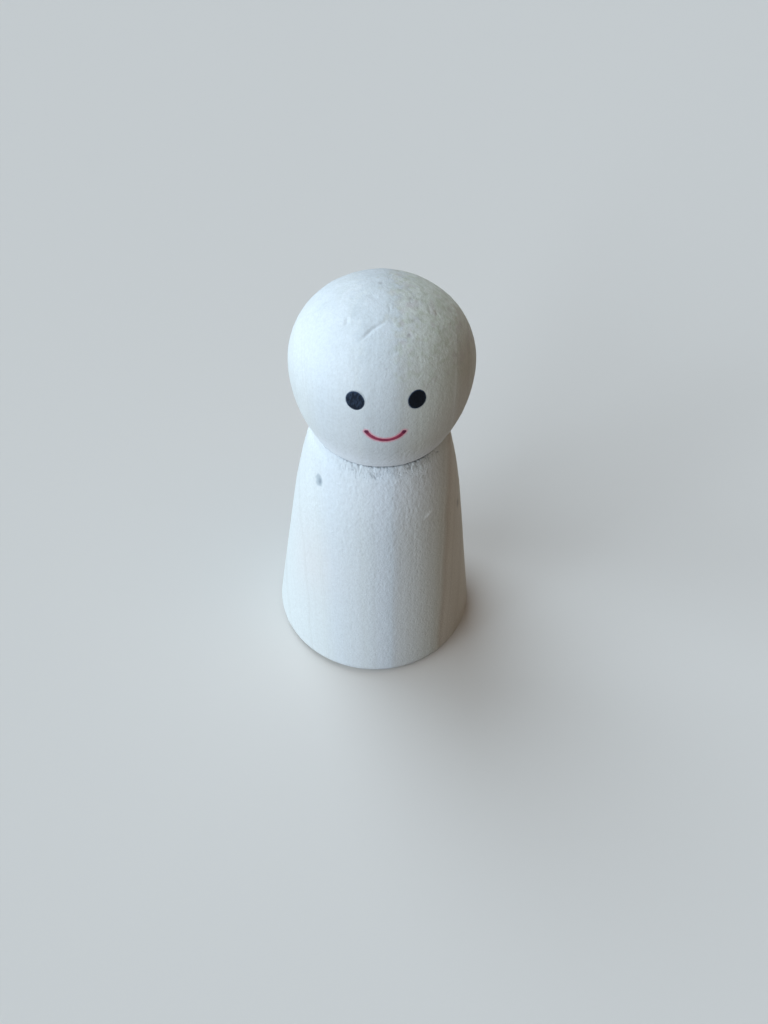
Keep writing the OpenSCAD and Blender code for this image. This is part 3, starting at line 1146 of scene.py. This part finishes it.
def grained(tree, in_mm, ring, colour):
    """A colour darkened by fine bands, then fibres, then flecks. Gives the fibres' pattern too."""
    lines = {"noise_dimensions": "1D", "Scale": BANDS_PER_MM, "Detail": 4.0, "Roughness": 0.62}
    bands = add(tree, "TexNoise", lines, {"W": ring})["Fac"]
    colour = shaded(tree, colour, bands, 0.3, 0.5, "#E4E1DC", 0.22)

    along = add(tree, "Mapping", {"Scale": FIBRES_PER_MM}, {"Vector": in_mm})[0]
    fibre = add(tree, "TexNoise", {"Scale": 1.0, **CLOUDY}, {"Vector": along})["Fac"]
    colour = shaded(tree, colour, fibre, 0.32, 0.56, "#D8D6D2", 0.12)

    fine = {"Scale": FLECKS_PER_MM, "Detail": 4.0, "Roughness": 0.7}
    flecks = add(tree, "TexNoise", fine, {"Vector": in_mm})["Fac"]
    return shaded(tree, colour, flecks, 0.36, 0.58, "#E2E0DC", 0.22), fibre


def patched(tree, in_mm, end_grain, colour, tone, patchy):
    """A colour made darker in soft patches where the grain is cut across."""
    patches = add(tree, "TexNoise", {"Scale": PATCHES_PER_MM, **CLOUDY}, {"Vector": in_mm})["Fac"]
    patch = add(tree, "MapRange", {1: 0.42, 2: 0.68, 4: patchy}, {0: patches})[0]
    patch = add(tree, "Math", {"operation": "MULTIPLY"}, {0: patch, 1: end_grain})[0]
    darker = {"data_type": "RGBA", "blend_type": "MULTIPLY", B: linear(tone)}
    return add(tree, "Mix", darker, {0: patch, A: colour})[RESULT]


# %% The wood's material
# A nap of 0.3 mm, and how deep the fibres are, in mm
NAP_PER_MM, FIBRE_DEPTH = 3.2, 0.012


def sanded_wood(name, stops, end_tone, patchy, nap_depth):
    """Growth layers, fine patterns, end grain and the painted marks, one over another.

    Bumps for the nap and the fibres and a roughness that varies with the nap come last.
    """
    material, tree, in_mm = new_material(name)
    end_grain = end_grain_share(tree)
    ring = growth_layer(tree, in_mm, end_grain)
    colour, fibre = grained(tree, in_mm, ring, layer_colour(tree, ring, stops))
    colour = patched(tree, in_mm, end_grain, colour, end_tone, patchy)
    marks = add(tree, "Attribute", {"attribute_name": "marks"})
    over = {0: marks["Alpha"], A: colour, B: marks["Color"]}
    colour = add(tree, "Mix", {"data_type": "RGBA"}, over)[RESULT]

    nap = add(tree, "TexNoise", {"Scale": NAP_PER_MM, **CLOUDY}, {"Vector": in_mm})["Fac"]
    bump = add(tree, "Bump", {"Strength": 1.0, "Distance": nap_depth * MM}, {"Height": nap})[0]
    grooved = {"Strength": 1.0, "Distance": FIBRE_DEPTH * MM}
    bump = add(tree, "Bump", grooved, {"Height": fibre, "Normal": bump})[0]
    rough = add(tree, "MapRange", {1: 0.3, 2: 0.7, 3: 0.55, 4: 0.72}, {0: nap})[0]
    shader = add(
        tree,
        "BsdfPrincipled",
        {"IOR": 1.45, "Specular IOR Level": 0.25},
        {"Base Color": colour, "Roughness": rough, "Normal": bump},
    )[0]
    add(tree, "OutputMaterial", links={"Surface": shader})
    return material


# %% The colours of the layers
# Each stop is a distance from the axis in mm, from the doll's right to its left, and a colour. The
# dark lines near -2.2 and 10.3 mm are the late wood of single years
right_half = [
    (-16.0, "#E5E9E6"),
    (-8.0, "#E7EBE9"),
    (-6.0, "#E4E9EB"),
    (-2.4, "#E3E7E8"),
    (-2.2, "#DFE3E4"),
    (-2.0, "#E2E6E6"),
]
body_left_half = [
    (0.8, "#DFE4E8"),
    (2.2, "#DCE2E6"),
    (2.65, "#D5D8D9"),
    (3.6, "#D8D9D7"),
    (5.5, "#DCDDD9"),
    (8.6, "#DADAD1"),
    (9.35, "#D4D2C6"),
    (9.6, "#DBD8CD"),
    (9.85, "#D1CCBE"),
    (10.3, "#CDC3B3"),
    (10.9, "#DBD3C4"),
    (16.0, "#E3DCCD"),
]
head_left_half = [
    (-1.0, "#DCE1E3"),
    (0.8, "#DADFE1"),
    (2.2, "#D8DDDE"),
    (2.9, "#D3D6D4"),
    (3.8, "#D6D8D3"),
    (5.5, "#DADDD4"),
    (9.3, "#D7D9CC"),
    (9.6, "#E0E2D8"),
    (9.85, "#D5D6C9"),
    (10.3, "#D2D0C2"),
    (10.9, "#D2CFC1"),
    (16.0, "#D8D2C4"),
]
body_wood = sanded_wood(
    "sanded_pale_wood_body", right_half + body_left_half, "#E6E4DE", patchy=0.4, nap_depth=0.074
)
head_wood = sanded_wood(
    "sanded_pale_wood_head", right_half + head_left_half, "#E4E7E2", patchy=0.35, nap_depth=0.053
)
print("wood networks have", len(body_wood.node_tree.nodes), "nodes each")


# %% [markdown]
# ## Printing ink
#
# Pad-printing ink dries matt and takes on the wood's texture. The eyes' black is worn, so fibres
# come through as grey specks, and the eye on the windows' side carries a painted bluish sheen as
# well. The smile's red is lighter at its rim where the ink is thin.
# Both read the colours painted on their points, over the colour of the full ink. A plain colour
# would be simpler, but from close by it looks like a sticker.

# %% The inks' materials
# Threads of the wood's texture, 0.13 mm across and 0.33 mm long, and how deep they show, in mm
THREADS_PER_MM, THREAD_DEPTH = (8.0, 8.0, 3.0), 0.015


def printed_ink(name, full, rough):
    """Full ink colour with the painted marks over it, and a fine bump from the wood beneath."""
    material, tree, in_mm = new_material(name)
    along = add(tree, "Mapping", {"Scale": THREADS_PER_MM}, {"Vector": in_mm})[0]
    weave = add(tree, "TexNoise", {"Scale": 1.0, "Detail": 3.0}, {"Vector": along})["Fac"]
    tone = add(tree, "MapRange", {1: 0.35, 2: 0.7, 3: 1.25, 4: 0.8}, {0: weave})[0]
    scaled = {"operation": "SCALE", 0: linear(full)[:3]}
    toned = add(tree, "VectorMath", scaled, {"Scale": tone})[0]
    marks = add(tree, "Attribute", {"attribute_name": "marks"})
    over = {0: marks["Alpha"], A: toned, B: marks["Color"]}
    colour = add(tree, "Mix", {"data_type": "RGBA"}, over)[RESULT]
    grooved = {"Strength": 1.0, "Distance": THREAD_DEPTH * MM}
    bump = add(tree, "Bump", grooved, {"Height": weave})[0]
    shader = add(
        tree,
        "BsdfPrincipled",
        {"IOR": 1.48, "Specular IOR Level": 0.1, "Roughness": rough},
        {"Base Color": colour, "Normal": bump},
    )[0]
    add(tree, "OutputMaterial", links={"Surface": shader})
    return material


eye_ink = printed_ink("pad_printed_black", "#080A0E", rough=0.6)
mouth_ink = printed_ink("pad_printed_red", "#A0465C", rough=0.6)
print("ink networks have", len(eye_ink.node_tree.nodes), "nodes each")

# %% [markdown]
# ## The hidden dowel
#
# The dowel is cut from beech, a pinkish tan wood known by its short dark flecks, and its flutes
# are pressed in. It keeps its CAD shape and only gets a finish. The flecks are 0.15 mm wide and
# 1.5 mm long, along the grain.

# %% The dowel's material
# The grain is 0.45 mm wide and 4 mm long, and 0.04 mm deep
GRAIN_PER_MM, DOWEL_FLECKS_PER_MM, GRAIN_DEPTH = (2.2, 2.2, 0.25), (6.5, 6.5, 0.65), 0.04

dowel_wood, tree, in_mm = new_material("fluted_beech")
along = add(tree, "Mapping", {"Scale": GRAIN_PER_MM}, {"Vector": in_mm})[0]
grain = add(tree, "TexNoise", {"Scale": 1.0, "Detail": 5.0}, {"Vector": along})["Fac"]
tans = [(0.3, "#B98A5C"), (0.7, "#D9B384")]
tan = add(tree, "ValToRGB", {"stops": tans}, {"Fac": grain})["Color"]
fleck_place = add(tree, "Mapping", {"Scale": DOWEL_FLECKS_PER_MM}, {"Vector": in_mm})[0]
flecks = add(tree, "TexNoise", {"Scale": 1.0, "Detail": 2.0}, {"Vector": fleck_place})["Fac"]
fleck = add(tree, "MapRange", {1: 0.6, 2: 0.68, 4: 0.7}, {0: flecks})[0]
dark = {"data_type": "RGBA", B: linear("#8A5C38")}
tan = add(tree, "Mix", dark, {0: fleck, A: tan})[RESULT]
bump = add(tree, "Bump", {"Strength": 1.0, "Distance": GRAIN_DEPTH * MM}, {"Height": grain})[0]
shader = add(
    tree,
    "BsdfPrincipled",
    {"Roughness": 0.6, "IOR": 1.45},
    {"Base Color": tan, "Normal": bump},
)[0]
add(tree, "OutputMaterial", links={"Surface": shader})
print("the dowel's network has", len(tree.nodes), "nodes")

# %% [markdown]
# ## Finish each piece
#
# Every piece made here rides on the doll's one rigid body, which is called root, and gets its
# material. The dowel comes from CAD and only gets its material.

# %% Materials on pieces
finishes = [
    (body, body_wood, "body_wood"),
    (head, head_wood, "head_wood"),
    (left_eye, eye_ink, "eye_ink"),
    (right_eye, eye_ink, "eye_ink"),
    (mouth, mouth_ink, "mouth_ink"),
    (torn_fibres, body_wood, "body_wood"),
]
for piece, material, slot in finishes:
    piece.data.materials.append(material)
    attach(piece, "root")
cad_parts["neck_dowel"].data.materials.clear()
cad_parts["neck_dowel"].data.materials.append(dowel_wood)
print("pieces:", [piece.name for piece, _, _ in finishes])

# %% [markdown]
# ## Floor and light
#
# The doll stands on a plain pale floor. Three soft bluish lamps stand for a row of windows on its
# right, from ahead to behind, and a weak warm one overhead for what the room gives back. The
# difference between the two sides is what makes the head look round. All four are far lamps, so
# the light is the same all over the floor, and each is 40 degrees wide, so the shadows are soft.
#
# The camera sees a paler floor than the light does. A floor as bright as it looks would throw so
# much light up that the shade under the chin would be gone, so the light meets a darker and browner
# one, much like a table top. The world has the floor's colour as the camera sees it lit, so the two
# meet without a horizon.

# %% Floor
# Its radius is in metres, and it lies this many millimetres below the doll
FLOOR_R, FLOOR_POINTS, FLOOR_DROP = 1.6, 96, 0.02


def seen_directly(tree):
    """1 for what the camera sees, straight or in a gloss or through glass, and 0 for soft light."""
    path = add(tree, "LightPath")
    higher = {"operation": "MAXIMUM"}
    either = add(tree, "Math", higher, {0: path["Is Camera Ray"], 1: path["Is Glossy Ray"]})[0]
    return add(tree, "Math", higher, {0: either, 1: path["Is Transmission Ray"]})[0]


turn = np.linspace(0, 2 * np.pi, FLOOR_POINTS, endpoint=False)
circle = FLOOR_R * np.stack([np.cos(turn), np.sin(turn), 0 * turn], axis=-1)
floor_mesh = bpy.data.meshes.new("floor")
floor_mesh.from_pydata(circle - (0, 0, FLOOR_DROP * MM), [], [list(range(FLOOR_POINTS))])
floor = bpy.data.objects.new("floor", floor_mesh)
bpy.context.scene.collection.objects.link(floor)
floor_finish, tree, in_mm = new_material("matt_pale_board")
tones = {"data_type": "RGBA", A: linear("#A09286"), B: linear("#E0DBD4")}
board = add(tree, "Mix", tones, {0: seen_directly(tree)})[RESULT]
matt = {"Roughness": 0.9, "Specular IOR Level": 0.0}
shader = add(tree, "BsdfPrincipled", matt, {"Base Color": board})[0]
add(tree, "OutputMaterial", links={"Surface": shader})
floor_mesh.materials.append(floor_finish)
print("the floor is", 2 * FLOOR_R, "m across")


# %% Lamps
LAMP_WIDTH = 40
DAYLIGHT, ROOMLIGHT = "#DBEEFF", "#FFEEDC"


def soft_lamp(name, turn, rise, strength, tint):
    """A far, wide lamp, so its light is even all over the floor: angles round and up in degrees."""
    lamp = bpy.data.objects.new(name, bpy.data.lights.new(name, "SUN"))
    lamp.data.energy, lamp.data.color = strength, linear(tint)[:3]
    lamp.data.angle = np.radians(LAMP_WIDTH)
    turn, rise = np.radians(turn), np.radians(rise)
    toward = Vector((np.cos(rise) * np.sin(turn), -np.cos(rise) * np.cos(turn), np.sin(rise)))
    lamp.matrix_world = toward.to_track_quat("Z", "Y").to_matrix().to_4x4()
    bpy.context.scene.collection.objects.link(lamp)
    print(name, "shines on the floor with", round(strength * np.sin(rise), 2))


soft_lamp("window_beside", -75, 24, 1.41, DAYLIGHT)
soft_lamp("window_ahead", -46, 15, 1.96, DAYLIGHT)
soft_lamp("window_behind", -140, 54, 1.84, DAYLIGHT)
soft_lamp("room", 60, 68, 0.34, ROOMLIGHT)

# %% World
DIM_STRENGTH = 0.06
world = bpy.data.worlds.new("studio")
bpy.context.scene.world = world
world.use_nodes = True
tree = world.node_tree
tree.nodes.clear()
seen = seen_directly(tree)
dim = add(tree, "Background", {"Color": linear("#FFF2E6"), "Strength": DIM_STRENGTH})[0]
backdrop = add(tree, "Background", {"Color": linear("#C4CBCE"), "Strength": 1.0})[0]
both = add(tree, "MixShader", links={0: seen, 1: dim, 2: backdrop})[0]
add(tree, "OutputWorld", links={"Surface": both})
bpy.context.scene.view_settings.view_transform = "Standard"
print("the world's network has", len(tree.nodes), "nodes")

# %% [markdown]
# ## Finish
#
# Blender brings the place of every piece up to date. The visual model has to stay as big as the CAD
# model.

# %% Bring the scene up to date
bpy.context.view_layer.update()
